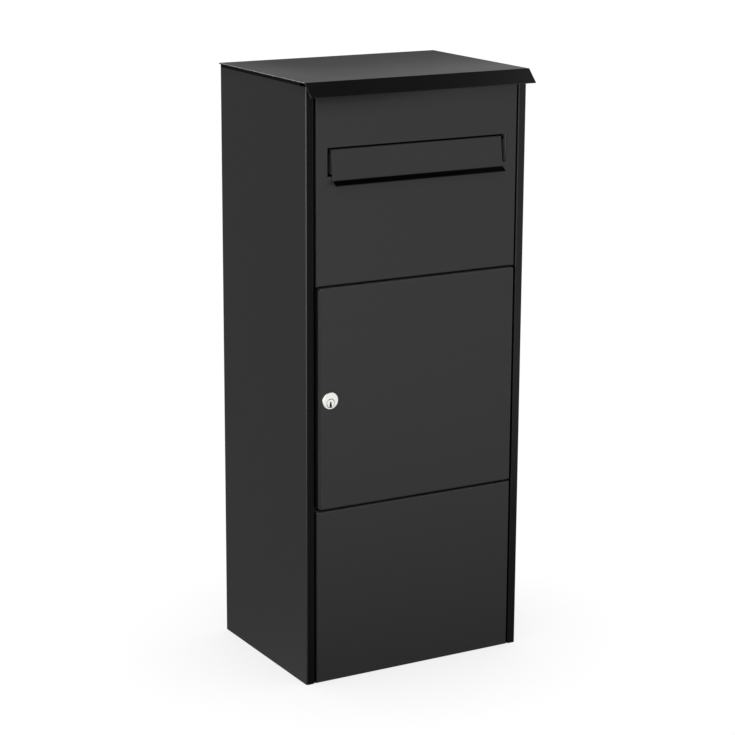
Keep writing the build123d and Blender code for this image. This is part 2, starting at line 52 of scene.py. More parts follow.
# %% Camera
picture_width = 735
focal_in_pixels = 2276.50
camera_place = Vector((-1.8378, -3.2095, 1.4170))
camera_heading = np.radians(-29.702)
camera_pitch = np.radians(-14.254)
camera_roll = np.radians(0.273)

camera_data = bpy.data.cameras.new("photo_camera")
camera_data.sensor_width = 36.0
camera_data.lens = focal_in_pixels * camera_data.sensor_width / picture_width
camera_data.clip_end = 200.0
camera = bpy.data.objects.new("photo_camera", camera_data)
bpy.context.scene.collection.objects.link(camera)
camera.location = camera_place
turned = Matrix.Rotation(camera_heading, 3, "Z") @ Matrix.Rotation(np.pi / 2 + camera_pitch, 3, "X")
camera.rotation_euler = (turned @ Matrix.Rotation(camera_roll, 3, "Z")).to_euler()
bpy.context.scene.camera = camera
print("lens", round(camera_data.lens, 2), "mm")


# %% [markdown]
# ## Helpers for finishes
# A finish is a small graph of nodes. Blender's own calls for a node, a link and a setting are long, so a
# few helpers with plain names keep each finish short enough to read at a glance. A mask is a value that
# is 1 inside some part of a surface and 0 outside it.

# %% Node helpers
def link(tree, start, end):
    """Joins one socket to another."""
    tree.links.new(start, end)


def node(tree, kind, **settings):
    """Adds a node of one kind and sets its plain properties."""
    made = tree.nodes.new(kind)
    for name, value in settings.items():
        setattr(made, name, value)
    return made


def feed(tree, socket, value):
    """Gives a socket its value, which is another socket or a plain number, colour or vector."""
    if isinstance(value, bpy.types.NodeSocket):
        link(tree, value, socket)
    else:
        socket.default_value = value


def math_node(tree, operation, *values):
    """One Math node on sockets or numbers. Its result comes back."""
    made = node(tree, "ShaderNodeMath", operation=operation)
    for socket, value in zip(made.inputs, values):
        feed(tree, socket, value)
    return made.outputs[0]


# %% Mask helpers
def ramp(tree, value, start, end, low=0.0, high=1.0):
    """A smooth change from low to high while the value goes from start to end, and flat beyond."""
    made = node(tree, "ShaderNodeMapRange", interpolation_type="SMOOTHSTEP")
    for socket, number in zip(made.inputs, (value, start, end, low, high)):
        feed(tree, socket, number)
    return made.outputs[0]


def both(tree, first, second):
    """A mask that is 1 where both masks are 1."""
    return math_node(tree, "MULTIPLY", first, second)


def either(tree, first, second):
    """A mask that is 1 where at least one of two masks is 1."""
    return math_node(tree, "MAXIMUM", first, second)


def band(tree, value, start, full, full_end, end):
    """A mask that rises from start to full, stays 1 and falls from full_end to end."""
    return both(tree, ramp(tree, value, start, full), ramp(tree, value, end, full_end))


def mix(tree, factor, first, second, kind="RGBA"):
    """The first colour or value where the factor is 0, the second where it is 1. kind is RGBA or FLOAT."""
    made = node(tree, "ShaderNodeMix", data_type=kind)
    for title, value in (("Factor", factor), ("A", first), ("B", second)):
        feed(tree, made.inputs[title], value)
    return made.outputs["Result"]


# %% Material helpers
def grey(value):
    """A plain grey as a colour."""
    return (value, value, value, 1.0)


def new_material(name):
    """An empty node material with a Principled shader. Gives the material, its tree and the shader."""
    made = bpy.data.materials.new(name)
    made.use_nodes = True
    return made, made.node_tree, made.node_tree.nodes["Principled BSDF"]


def object_place(tree):
    """Object coordinates, which are the box's own metres on every node and piece."""
    return node(tree, "ShaderNodeTexCoord").outputs["Object"]


def object_axes(tree):
    """The X, Y and Z of the object coordinates as three sockets."""
    split = node(tree, "ShaderNodeSeparateXYZ")
    link(tree, object_place(tree), split.inputs[0])
    return split.outputs


def add_bump(tree, shader, height, distance):
    """Turns a height from 0 to 1 into the shader's normal, as a relief of that distance in metres."""
    bump = node(tree, "ShaderNodeBump")
    bump.inputs["Distance"].default_value = distance
    link(tree, height, bump.inputs["Height"])
    link(tree, bump.outputs["Normal"], shader.inputs["Normal"])


# %% [markdown]
# ## Shared effect: a grained skin
# Powder coat, moulded nylon, rubber and plated steel all look plain from afar, and all have a skin close
# up: a soft grain with a finer grit on it, and clouds where the surface is a touch lighter or duller. The
# grain could be painted, but three noise textures in one node group serve every sheet at any size. The
# group's own values are those of the powder coat.

# %% Grained skin group
FLOAT, COLOUR, VECTOR = "NodeSocketFloat", "NodeSocketColor", "NodeSocketVector"


def group_tree(name, inputs, outputs):
    """Makes a shader node group. inputs are (name, type, default), outputs are (name, type)."""
    tree = bpy.data.node_groups.new(name, "ShaderNodeTree")
    for title, kind, default in inputs:
        tree.interface.new_socket(title, in_out="INPUT", socket_type=kind).default_value = default
    for title, kind in outputs:
        tree.interface.new_socket(title, in_out="OUTPUT", socket_type=kind)
    return tree, tree.nodes.new("NodeGroupInput").outputs, tree.nodes.new("NodeGroupOutput").inputs


def noise(tree, place, scale, detail):
    """A noise texture's value at a place, about 0 to 1."""
    made = node(tree, "ShaderNodeTexNoise")
    for title, value in (("Vector", place), ("Scale", scale), ("Detail", detail)):
        feed(tree, made.inputs[title], value)
    return made.outputs["Fac"]


skin, skin_in, skin_out = group_tree(
    "grained_skin",
    [("Place", VECTOR, (0, 0, 0)), ("Tint", COLOUR, grey(0.01)), ("Tone Change", FLOAT, 0.2),
     ("Roughness", FLOAT, 0.4), ("Roughness Change", FLOAT, 0.06), ("Grain Scale", FLOAT, 620.0),
     ("Cloud Scale", FLOAT, 7.0)],
    [("Color", COLOUR), ("Roughness", FLOAT), ("Height", FLOAT)])
grit_per_grain, grit_share, cloud_mean = 4.2, 0.25, 0.5
grain = noise(skin, skin_in["Place"], skin_in["Grain Scale"], detail=2.0)
grit_scale = math_node(skin, "MULTIPLY", skin_in["Grain Scale"], grit_per_grain)
grit = noise(skin, skin_in["Place"], grit_scale, detail=1.0)
cloud = noise(skin, skin_in["Place"], skin_in["Cloud Scale"], detail=3.0)
shift = math_node(skin, "SUBTRACT", cloud, cloud_mean)
tinted = node(skin, "ShaderNodeVectorMath", operation="SCALE")
link(skin, skin_in["Tint"], tinted.inputs[0])
link(skin, math_node(skin, "MULTIPLY_ADD", shift, skin_in["Tone Change"], 1.0), tinted.inputs["Scale"])
clouded = math_node(skin, "MULTIPLY_ADD", shift, skin_in["Roughness Change"], skin_in["Roughness"])
link(skin, tinted.outputs[0], skin_out["Color"])
link(skin, clouded, skin_out["Roughness"])
link(skin, math_node(skin, "MULTIPLY_ADD", grit, grit_share, grain), skin_out["Height"])
print("grained skin group", len(skin.nodes), "nodes")


# %% [markdown]
# ## The powder coat on each sheet
# Powder coat is a plastic skin baked onto the steel, with a soft orange peel a millimetre or two across.
# All the sheets share one black, but they do not look alike: the door and front panels are satin, and the
# insides are duller, because less powder reaches them. One function makes the coat, and each sheet gets
# its own values.

# %% Coat function
def use_skin(tree, shader, relief, **values):
    """Places the grained skin group, feeds a shader from it and gives the group node."""
    made = node(tree, "ShaderNodeGroup", node_tree=skin)
    link(tree, object_place(tree), made.inputs["Place"])
    for title, value in values.items():
        feed(tree, made.inputs[title.replace("_", " ").title()], value)
    link(tree, made.outputs["Color"], shader.inputs["Base Color"])
    link(tree, made.outputs["Roughness"], shader.inputs["Roughness"])
    add_bump(tree, shader, made.outputs["Height"], relief)
    return made


millimetre = 0.001
coat_black = (0.0055, 0.0055, 0.0053, 1.0)
coat_relief = 0.02 * millimetre
coat_index = 1.46
satin, dull = 0.42, 0.55


def coat_material(name, roughness):
    """One sheet's powder coat. Gives the material, its tree, its shader and its skin."""
    made, tree, shader = new_material(name)
    shader.inputs["IOR"].default_value = coat_index
    return made, tree, shader, use_skin(tree, shader, coat_relief, tint=coat_black, roughness=roughness)


inner_coat = coat_material("inner_coat", dull)[0]
print("plain coat", inner_coat.name)


# %% [markdown]
# ## Where shade is painted deep black
# The folds that face the front beside the door, and the finger lip of the letter flap, are the darkest
# parts of the box: next to the satin panels they hardly shine, and their black is painted shade. A second
# paint could be split off as its own sheet. A mask on the object's coordinates does it in the same coat.
# Inside the mask the shader counts as metal with a nearly black colour, because that is a plain way to
# take the shine out of a coat. A weak mask gives the painted soft shade that the sides have just under the
# roof. The right fold gets more light than the left one, so each side has its own greys of painted light.

# %% Deep black
painted_shade_black = grey(0.0075)


def paint_deep_shade(tree, shader, coat, mask, deep=painted_shade_black):
    """Paints shade into a coat: deep black where the mask is 1."""
    link(tree, mix(tree, mask, coat.outputs["Color"], deep), shader.inputs["Base Color"])
    link(tree, mask, shader.inputs["Metallic"])


# %% Side sheets
side_half = -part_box("left_side_panel")[0][0]
flange_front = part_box("left_side_panel")[0][1]
roof_half, roof_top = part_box("roof")[1][0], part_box("roof")[1][2]
flange_width, flange_edge = 12.7 * millimetre, 0.4 * millimetre
fold_inside = side_half - flange_width
tone_heights = (100 * millimetre, 550 * millimetre)
shade_heights = (roof_top - 23 * millimetre, roof_top - 6 * millimetre)
shade_depths = (-70 * millimetre, -140 * millimetre)
back_shade, front_shade = 0.10, 0.30


def side_material(name, fold_tones, inside_tones, inside_start):
    """A side sheet: satin on the side, with painted shade: deep black on the front fold and on what is
    folded in behind it, and a soft shade under the roof. Two tones are the painted greys of light and
    shade at the lower and the upper tone height."""
    made, tree, shader, coat = coat_material(name, satin)
    x, y, z = object_axes(tree)
    from_middle = math_node(tree, "ABSOLUTE", x)
    front_fold = ramp(tree, y, flange_front + flange_edge, flange_front + flange_edge / 4)
    folded_in = ramp(tree, from_middle, fold_inside + flange_edge, fold_inside)
    inside = ramp(tree, from_middle, inside_start + flange_edge, inside_start)
    height = ramp(tree, z, *tone_heights)
    fold_light_and_shade = mix(tree, height, *map(grey, fold_tones))
    inside_light_and_shade = mix(tree, height, *map(grey, inside_tones))
    shade = ramp(tree, y, *shade_depths, back_shade, front_shade)
    under_roof = both(tree, ramp(tree, z, *shade_heights), shade)
    mask = either(tree, either(tree, front_fold, folded_in), under_roof)
    paint_deep_shade(tree, shader, coat, mask, mix(tree, inside, fold_light_and_shade, inside_light_and_shade))
    return made


right_inset = 2 * millimetre
# Painted light and shade: each side's fold greys, the right ones lighter towards the top.
left_coat = side_material("left_side_coat", fold_tones=(0.0091, 0.009), inside_tones=(0.026, 0.026),
                          inside_start=fold_inside)
right_coat = side_material("right_side_coat", fold_tones=(0.013, 0.0245), inside_tones=(0.015, 0.07),
                           inside_start=fold_inside - right_inset)
print("front fold at", round(flange_front, 4), "folded in from", round(fold_inside, 4))


# %% [markdown]
# ## The front pans
# The door and the two fixed panels are shallow pans: a flat face with its edges turned back. The round of
# each side fold is duller and darker than the face, as painted shade. The door's walls stand proud of the
# box and catch some light, while those of the fixed panels lie in their gaps, so the walls carry painted
# light and shade. The folds that face up are lighter, from fine dust and painted light, and a painted
# shade from the drip lip lies on the top of the upper panel, most at its left. All of this could be
# painted on three sheets. Masks that start at a pan's own edges follow it when its size changes.

# %% Painted shade, dust and painted light on the pans
narrow_shade = (roof_top - 40 * millimetre, roof_top - 26 * millimetre)
wide_shade = (roof_top - 63 * millimetre, roof_top - 28 * millimetre)
narrow_strength, wide_strength = 0.28, 0.20
lip_ends = (-120 * millimetre, 90 * millimetre)
left_share, right_share = 1.0, 0.12
dust_and_light_grey = grey(0.04)
dust_and_light_rise = (-2.2 * millimetre, -0.6 * millimetre)
dust_and_light_fall = (0.2 * millimetre, 0.6 * millimetre)


def lip_shade(tree, x, z):
    """The painted shade under the drip lip: a narrow one and a wide one added, and weaker towards the
    right.
    """
    narrow = ramp(tree, z, *narrow_shade, 0.0, narrow_strength)
    wide = ramp(tree, z, *wide_shade, 0.0, wide_strength)
    share = ramp(tree, x, *lip_ends, left_share, right_share)
    return both(tree, math_node(tree, "ADD", narrow, wide), share)


def dusty_and_lit(tree, z, upper_edge):
    """The coat's black, and a lighter grey on a fold that faces up at the height upper_edge, as dust and
    painted light.
    """
    upward_fold = band(tree, z, *(upper_edge + step for step in dust_and_light_rise + dust_and_light_fall))
    return mix(tree, upward_fold, coat_black, dust_and_light_grey)


# %% Front pans
wall_edge = (0.6 * millimetre, 0.2 * millimetre)
fold_edge = (1.8 * millimetre, 0.8 * millimetre)
wall_depths = (7.2 * millimetre, 3.6 * millimetre)


def pan_material(name, pan, fold_tone, wall_tones, upper_edge):
    """A pan's coat: satin on the face, painted shade on the round of the side folds, and painted shade and
    light down the walls. The wall's two tones are the greys at its back and at its front."""
    made, tree, shader, coat = coat_material(name, satin)
    half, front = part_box(pan)[1][0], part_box(pan)[0][1]
    x, y, z = object_axes(tree)
    from_middle = math_node(tree, "ABSOLUTE", x)
    wall = ramp(tree, from_middle, *(half - step for step in wall_edge))
    fold = ramp(tree, from_middle, *(half - step for step in fold_edge))
    along_wall = ramp(tree, y, *(front + step for step in wall_depths))
    wall_light_and_shade = mix(tree, along_wall, *map(grey, wall_tones))
    feed(tree, coat.inputs["Tint"], mix(tree, wall, dusty_and_lit(tree, z, upper_edge), wall_light_and_shade))
    rounds = math_node(tree, "SUBTRACT", fold, wall)
    paint_deep_shade(tree, shader, coat, either(tree, rounds, lip_shade(tree, x, z)), grey(fold_tone))
    return made


# Painted shade on the fold rounds and walls, painted light on the front of the door's walls.
panel_coat = pan_material("panel_coat", "upper_front_panel", fold_tone=0.005, wall_tones=(0.002, 0.002),
                          upper_edge=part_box("lower_front_panel")[1][2])
door_coat = pan_material("door_coat", "door_panel", fold_tone=0.006, wall_tones=(0.004, 0.028),
                         upper_edge=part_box("door_panel")[1][2])
print("pans", panel_coat.name, door_coat.name)

# %% [markdown]
# ## The letter flap and its brackets
# The flap is one folded sheet with a cheek at each end and a finger lip at its foot. The lip is deep
# black like the side folds, as painted shade under the flap, and the cheeks are lighter than the face, as
# painted light from the side. The brackets that carry the flap's rod are seen in the gaps beside it, and
# their greys are painted light: the right one gets more light than the left one. Each could have a paint
# of its own. Masks along X and Y keep all of it in the same coat.

# %% Letter flap
flap_coat, flap_tree, flap_shader, flap_skin = coat_material("flap_coat", satin)
flap_x, flap_y = object_axes(flap_tree)[:2]
flap_low, flap_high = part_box("letter_flap")
lip_reach, lip_round = 9.5 * millimetre, 1.2 * millimetre
lip_bend = flap_low[1] + lip_reach
cheek_edge = 0.2 * millimetre
cheek_inside = flap_high[0] - cheek_edge
# Painted light on the cheeks.
cheek_painted_light = grey(0.03)
cheek = ramp(flap_tree, math_node(flap_tree, "ABSOLUTE", flap_x), cheek_inside - cheek_edge, cheek_inside)
feed(flap_tree, flap_skin.inputs["Tint"], mix(flap_tree, cheek, coat_black, cheek_painted_light))
# Painted shade: the finger lip is deep black.
paint_deep_shade(flap_tree, flap_shader, flap_skin, ramp(flap_tree, flap_y, lip_bend, lip_bend - lip_round))
print("flap lip bend at", round(lip_bend, 4), "cheeks at", round(cheek_inside, 4))

# %% Flap brackets
bracket_coat, bracket_tree, _, bracket_skin = coat_material("pocket_coat", dull)
between_brackets = (-50 * millimetre, 50 * millimetre)
# Painted light: the right bracket is lighter than the left one.
left_bracket_light, right_bracket_light = grey(0.024), grey(0.046)
to_the_right = ramp(bracket_tree, object_axes(bracket_tree)["X"], *between_brackets)
feed(bracket_tree, bracket_skin.inputs["Tint"], mix(bracket_tree, to_the_right, left_bracket_light, right_bracket_light))
print("brackets", bracket_coat.name)

# %% [markdown]
# ## The roof
# The roof is the same coat, but it is seen almost along its surface, where any coat turns mirror-like.
# The coat flowed out smoother towards the front fold, so the roof shines more there than at the back
# edge. Its cut ends are deep black below their rounded upper edge, as painted shade under the roof's edge,
# and the drip lip in front of the fold is darker than the sheet, as painted shade. The lip's own cut ends
# are lighter, most at their lower tip, as a painted highlight. A picture of the shine could be laid on the
# sheet. Ramps along it say why it is there.

# %% Roof sheet
roof_coat, roof_tree, roof_shader, roof_skin = coat_material("roof_coat", satin)
roof_x, roof_y, roof_z = object_axes(roof_tree)
back_roughness, front_roughness, left_change = 0.44, 0.28, -0.11
back_to_fold, slant = (140 * millimetre, -180 * millimetre), -0.12
left_span = (-90 * millimetre, -200 * millimetre)
left_depths = (-140 * millimetre, 40 * millimetre)
slanted = math_node(roof_tree, "MULTIPLY_ADD", roof_x, slant, roof_y)
to_the_fold = ramp(roof_tree, slanted, *back_to_fold, back_roughness, front_roughness)
at_the_left = both(roof_tree, ramp(roof_tree, roof_x, *left_span), ramp(roof_tree, roof_y, *left_depths))
feed(roof_tree, roof_skin.inputs["Roughness"],
     math_node(roof_tree, "MULTIPLY_ADD", at_the_left, left_change, to_the_fold))
print("roof half width", round(roof_half, 4), "top", round(roof_top, 4))

# %% Roof ends and drip lip
end_edge = (roof_half - 0.7 * millimetre, roof_half - 0.3 * millimetre)
round_edge = (roof_top - 1.2 * millimetre, roof_top - 1.6 * millimetre)
tip_heights = (roof_top - 15 * millimetre, roof_top - 20 * millimetre)
fold_offset, fold_blur = 1.5 * millimetre, 0.4 * millimetre
fold_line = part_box("upper_front_panel")[0][1] - fold_offset
# Painted shade on the cut ends and the drip lip, and a painted highlight on the lip's cut ends.
roof_end_shade, drip_lip_shade, lip_end_light, lip_tip_highlight = grey(0.004), grey(0.003), grey(0.008), grey(0.03)
cut_end = ramp(roof_tree, math_node(roof_tree, "ABSOLUTE", roof_x), *end_edge)
behind_fold = ramp(roof_tree, roof_y, fold_line - fold_blur, fold_line + fold_blur)
lip_end = mix(roof_tree, ramp(roof_tree, roof_z, *tip_heights), lip_end_light, lip_tip_highlight)
lip_tint = mix(roof_tree, cut_end, drip_lip_shade, lip_end)
feed(roof_tree, roof_skin.inputs["Tint"], mix(roof_tree, behind_fold, lip_tint, coat_black))
below_edge = both(roof_tree, cut_end, ramp(roof_tree, roof_z, *round_edge))
paint_deep_shade(roof_tree, roof_shader, roof_skin, both(roof_tree, below_edge, behind_fold), roof_end_shade)
print("drip lip in front of", round(fold_line, 4))

# %% [markdown]
# ## The lock's nickel
# The lock's face and plug are turned on a lathe and nickel-plated, so faint rings run round the axis. A
# ring is what keeps its distance from the axis, so a noise that reads only that distance draws them. Face
# and plug turn about different axes, so the group takes the axis as an input.

# %% Turned rings group
rings, rings_in, rings_out = group_tree(
    "turned_rings",
    [("Place", VECTOR, (0, 0, 0)), ("Axis", VECTOR, (0, 0, 0)), ("Per Metre", FLOAT, 2600.0)],
    [("Rings", FLOAT), ("Distance", FLOAT)])
without_y = (1, 0, 1)
from_axis = node(rings, "ShaderNodeVectorMath", operation="SUBTRACT")
link(rings, rings_in["Place"], from_axis.inputs[0])
link(rings, rings_in["Axis"], from_axis.inputs[1])
across = node(rings, "ShaderNodeVectorMath", operation="MULTIPLY")
link(rings, from_axis.outputs[0], across.inputs[0])
across.inputs[1].default_value = without_y
distance = node(rings, "ShaderNodeVectorMath", operation="LENGTH")
link(rings, across.outputs[0], distance.inputs[0])
cut_marks = node(rings, "ShaderNodeTexNoise", noise_dimensions="1D")
link(rings, distance.outputs["Value"], cut_marks.inputs["W"])
link(rings, rings_in["Per Metre"], cut_marks.inputs["Scale"])
link(rings, cut_marks.outputs["Fac"], rings_out["Rings"])
link(rings, distance.outputs["Value"], rings_out["Distance"])
print("turned rings group", len(rings.nodes), "nodes")


# %% Lock measures
def node_middle(name):
    """The middle of a node's box."""
    return tuple(np.mean(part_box(name), axis=0))


def turning_marks(tree, axis):
    """Places the turned rings group round an axis and gives its outputs."""
    marks = node(tree, "ShaderNodeGroup", node_tree=rings)
    link(tree, object_place(tree), marks.inputs["Place"])
    marks.inputs["Axis"].default_value = axis
    return marks.outputs


plug_axis = node_middle("lock_plug")
plug_front, plug_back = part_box("lock_plug")[0][1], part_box("lock_plug")[1][1]
chamfer_band = [radius * millimetre for radius in (6.3, 6.6, 7.4, 7.7)]
# Painted shade round the keyway, wider towards its foot.
keyway_shade_heights = (plug_axis[2] + 2.7 * millimetre, plug_axis[2] - 2.5 * millimetre)
keyway_shade_halves = (1.0 * millimetre, 1.9 * millimetre)
keyway_middle, keyway_half = plug_axis[2] - 1.8 * millimetre, 4.5 * millimetre
print("turning axes", np.round(node_middle("lock_housing"), 4), np.round(plug_axis, 4))

# %% Nickel
nickel_trough, nickel_crest = (0.76, 0.748, 0.714, 1), (0.845, 0.835, 0.811, 1)
# The chamfers are darker, and the keyway's painted shade and the bare metal behind are near black.
chamfer_dark, bare_and_shade_dark = (0.24, 0.235, 0.22, 1), (0.012, 0.010, 0.007, 1)
mark_range, mark_roughness = (0.2, 0.8), (0.20, 0.32)
mark_relief, bare_edge, plated_depth = 0.004 * millimetre, 0.1 * millimetre, 0.45 * millimetre


def keyway_shade(tree, x, z):
    """Painted shade round the keyway: near its middle line, by a half width that grows downwards."""
    beside = math_node(tree, "ABSOLUTE", math_node(tree, "SUBTRACT", x, plug_axis[0]))
    near = math_node(tree, "LESS_THAN", beside, ramp(tree, z, *keyway_shade_heights, *keyway_shade_halves))
    return both(tree, near, math_node(tree, "COMPARE", z, keyway_middle, keyway_half))


def nickel_material(name, axis, dark_from):
    """Satin nickel with turning marks round an axis: lighter and duller on the crests of the marks.
    The two chamfers where plug and face meet are darker. Round the keyway a painted shade is dark, and
    all behind the depth dark_from is bare and dark."""
    made, tree, shader = new_material(name)
    shader.inputs["Metallic"].default_value = 1.0
    value = turning_marks(tree, axis)["Rings"]
    chamfers = band(tree, turning_marks(tree, plug_axis)["Distance"], *chamfer_band)
    x, y, z = object_axes(tree)
    bare_and_shade = either(tree, ramp(tree, y, dark_from, dark_from + bare_edge), keyway_shade(tree, x, z))
    plated = mix(tree, chamfers, mix(tree, value, nickel_trough, nickel_crest), chamfer_dark)
    link(tree, mix(tree, bare_and_shade, plated, bare_and_shade_dark), shader.inputs["Base Color"])
    link(tree, ramp(tree, value, *mark_range, *mark_roughness), shader.inputs["Roughness"])
    add_bump(tree, shader, value, mark_relief)
    return made


face_nickel = nickel_material("face_nickel", node_middle("lock_housing"), plug_back)
plug_nickel = nickel_material("plug_nickel", plug_axis, plug_front + plated_depth)
print("nickel", face_nickel.name, plug_nickel.name)


# %% [markdown]
# ## Plated steel, nylon and rubber
# The nuts, rivets and the cam are zinc-plated: a cool grey metal, a little cloudy, with small dull spots.
# The hinge pins and the flap's rod are black zinc, and the rails under the roof are painted nearly black
# without shine, as painted shade under the roof. The hinge bushes are moulded black nylon and the buffers
# are black rubber. Each could have a graph of its own. The shared skin with another grain does for all of
# them.

# %% Zinc, nylon and rubber
def skin_material(name, relief, metallic, specular, **values):
    """A material that takes its colour, roughness and relief from the grained skin."""
    made, tree, shader = new_material(name)
    shader.inputs["Metallic"].default_value = metallic
    shader.inputs["Specular IOR Level"].default_value = specular
    use_skin(tree, shader, relief, **values)
    return made


plain_shine, hidden_shine = 0.5, 0.02
plated_relief, nylon_relief, rubber_relief = 0.006 * millimetre, 0.01 * millimetre, 0.02 * millimetre
plated_grain = {"grain_scale": 2400.0, "cloud_scale": 260.0, "tone_change": 0.5}
# The rails are near black, as painted shade under the roof.
rail_shade_coat = skin_material("rail_shade_coat", coat_relief, 1.0, plain_shine, tint=grey(0.004), roughness=0.5)
zinc = skin_material("zinc_steel", plated_relief, 1.0, plain_shine, tint=(0.56, 0.57, 0.58, 1),
                     roughness=0.34, roughness_change=0.3, **plated_grain)
black_zinc = skin_material("black_zinc", plated_relief, 1.0, plain_shine, tint=grey(0.008),
                           roughness=0.45, roughness_change=0.2, **plated_grain)
nylon = skin_material("black_nylon", nylon_relief, 0.0, hidden_shine, tint=(0.006, 0.006, 0.0063, 1),
                      tone_change=0.4, roughness=0.48, roughness_change=0.15, grain_scale=1800.0,
                      cloud_scale=120.0)
rubber = skin_material("black_rubber", rubber_relief, 0.0, plain_shine, tint=grey(0.010), tone_change=0.5,
                       roughness=0.78, roughness_change=0.2, grain_scale=1500.0, cloud_scale=90.0)
print("skins", [made.name for made in (rail_shade_coat, zinc, black_zinc, nylon, rubber)])

# %% [markdown]
# ## One finish for each node
# Each part of the real box comes out of one bath or oven, so each node has one finish. They could be set
# node by node where they are made. One table shows them all, and its print shows that no node is left
# out.

# %% Finishes on the nodes
finish_of = {
    left_coat: ["left_side_panel"],
    right_coat: ["right_side_panel"],
    panel_coat: ["upper_front_panel", "lower_front_panel"],
    door_coat: ["door_panel"],
    flap_coat: ["letter_flap"],
    roof_coat: ["roof"],
    rail_shade_coat: ["left_roof_rail", "right_roof_rail"],
    inner_coat: ["back_panel", "base_plate", "mail_shelf", "left_shelf_rail", "right_shelf_rail",
                 "letter_chute", "door_stiffener"],
    bracket_coat: ["left_flap_bracket", "right_flap_bracket"],
    face_nickel: ["lock_housing"],
    plug_nickel: ["lock_plug"],
    zinc: ["roof_nuts", "panel_rivets", "lock_nut", "lock_cam", "cam_screw", "strike_plate"],
    black_zinc: ["upper_hinge_pin", "lower_hinge_pin", "flap_hinge_rod", "flap_rod_clips"],
    nylon: ["upper_hinge_bush", "lower_hinge_bush"],
    rubber: ["flap_buffers", "door_buffers"],
}
for material, names in finish_of.items():
    for name in names:
        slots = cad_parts[name].data.materials
        slots.clear()
        slots.append(material)
print("nodes without a finish", sorted(set(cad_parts) - set(sum(finish_of.values(), []))))


# %% [markdown]
# ## Small turned and welded pieces
# The frame leaves out screw threads, welds, plugs and small tongues, because nothing is measured from
# them. Most are seen when the door stands open. Each one is a function on a grid of two parameters: one
# runs along the piece and the other runs round it. Arrays give every point at once, and one helper turns
# such grids into a mesh.

# %% Grid helpers
def turns(columns):
    """The angles of one full turn, as a row."""
    return np.linspace(0.0, 2 * np.pi, columns, endpoint=False)[None, :]


def places_at(xs, ys, zs):
    """Every place made of one x, one y and one z, as rows of three numbers."""
    z, y, x = np.meshgrid(zs, ys, xs, indexing="ij")
    return np.stack([x, y, z], axis=-1).reshape(-1, 3)


# %% Mesh of closed grids
merge_distance = 1e-7


def closed_mesh(name, shells, rows_close):
    """A smooth mesh of closed grids. shells[shell, row, column] is a point. Columns close on themselves.
    Rows close too where rows_close is set, and otherwise end in poles whose equal points are merged."""
    number = np.arange(shells[..., 0].size).reshape(shells.shape[:3])
    if rows_close:
        number = np.concatenate([number, number[:, :1]], axis=1)
    beside = np.roll(number, -1, axis=2)
    corners = [number[:, :-1], beside[:, :-1], beside[:, 1:], number[:, 1:]]
    faces = np.stack(corners, axis=-1).reshape(-1, 4)
    mesh = bpy.data.meshes.new(name)
    mesh.from_pydata(shells.reshape(-1, 3).tolist(), [], faces.tolist())
    work = bmesh.new()
    work.from_mesh(mesh)
    bmesh.ops.remove_doubles(work, verts=work.verts, dist=merge_distance)
    bmesh.ops.recalc_face_normals(work, faces=work.faces)
    work.to_mesh(mesh)
    work.free()
    mesh.polygons.foreach_set("use_smooth", np.ones(len(mesh.polygons), dtype=bool))
    return mesh


def grid_piece(name, shell, places, rows_close, material, body):
    """Makes one piece of a closed grid, repeated at each of the places, and lets it ride on a body."""
    mesh = closed_mesh(name, shell + places[:, None, None, :], rows_close)
    mesh.materials.append(material)
    piece = bpy.data.objects.new(name, mesh)
    bpy.context.scene.collection.objects.link(piece)
    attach(piece, body)
    print(name, len(mesh.vertices), "points", len(mesh.polygons), "faces")


# %% [markdown]
# ## Screw threads
# A thread is one ridge that climbs round a rod by its pitch at every turn. It could be a screw modifier
# on a tooth profile. A grid is simpler to close: the radius at a distance along the rod and an angle
# round it is a wave in distance over pitch minus angle, so each ridge joins the next after one turn. The
# ridge fades out at both ends, as a cut thread does, and an inner wall closes the sleeve.

# %% Thread function
rows_per_pitch = 10


def thread_sleeve(length, root, depth, pitch, inner, columns):
    """A threaded sleeve along +X.
    radius = root + depth * fade * (1 - cos(2 pi * along / pitch - turn)) / 2, where fade goes from 0 to 1
    over the first pitch and back over the last one. Two more rows at the inner radius close it."""
    along = np.linspace(0.0, length, int(length / pitch * rows_per_pitch) + 1)[:, None]
    turn = turns(columns)
    fade = np.clip(np.minimum(along, length - along) / pitch, 0.0, 1.0)
    radius = root + depth * fade * (1 - np.cos(2 * np.pi * along / pitch - turn)) / 2
    along = np.repeat(np.concatenate([along, [[length], [0.0]]]), columns, axis=1)
    radius = np.concatenate([radius, np.full((2, columns), inner)])
    return np.stack([along, radius * np.cos(turn), radius * np.sin(turn)], axis=-1)


# %% Lock barrel thread
barrel_axis = node_middle("lock_nut")
bare_end = 0.5 * millimetre
barrel_start, barrel_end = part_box("lock_nut")[1][1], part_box("lock_housing")[1][1] - bare_end
barrel = thread_sleeve(barrel_end - barrel_start, root=12.02 * millimetre, depth=0.4 * millimetre,
                       pitch=1.5 * millimetre, inner=11.6 * millimetre, columns=64)
along_y = np.roll(barrel, 1, axis=-1)
barrel_place = places_at(barrel_axis[0], barrel_start, barrel_axis[2])
grid_piece("lock_barrel_thread", along_y, barrel_place, True, face_nickel, "door")

# %% Roof stud threads
stud_x, stud_y = 192.5 * millimetre, 85.0 * millimetre
stud_length, nut_gap = 14.0 * millimetre, 0.2 * millimetre
stud_low = roof_top - stud_length
stud = thread_sleeve(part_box("roof_nuts")[0][2] - stud_low - nut_gap, root=2.52 * millimetre,
                     depth=0.25 * millimetre, pitch=0.8 * millimetre, inner=2.2 * millimetre, columns=24)
along_z = np.roll(stud, -1, axis=-1)
stud_places = places_at([-stud_x, stud_x], [-stud_y, stud_y], stud_low)
grid_piece("roof_stud_threads", along_z, stud_places, True, zinc, "cabinet")

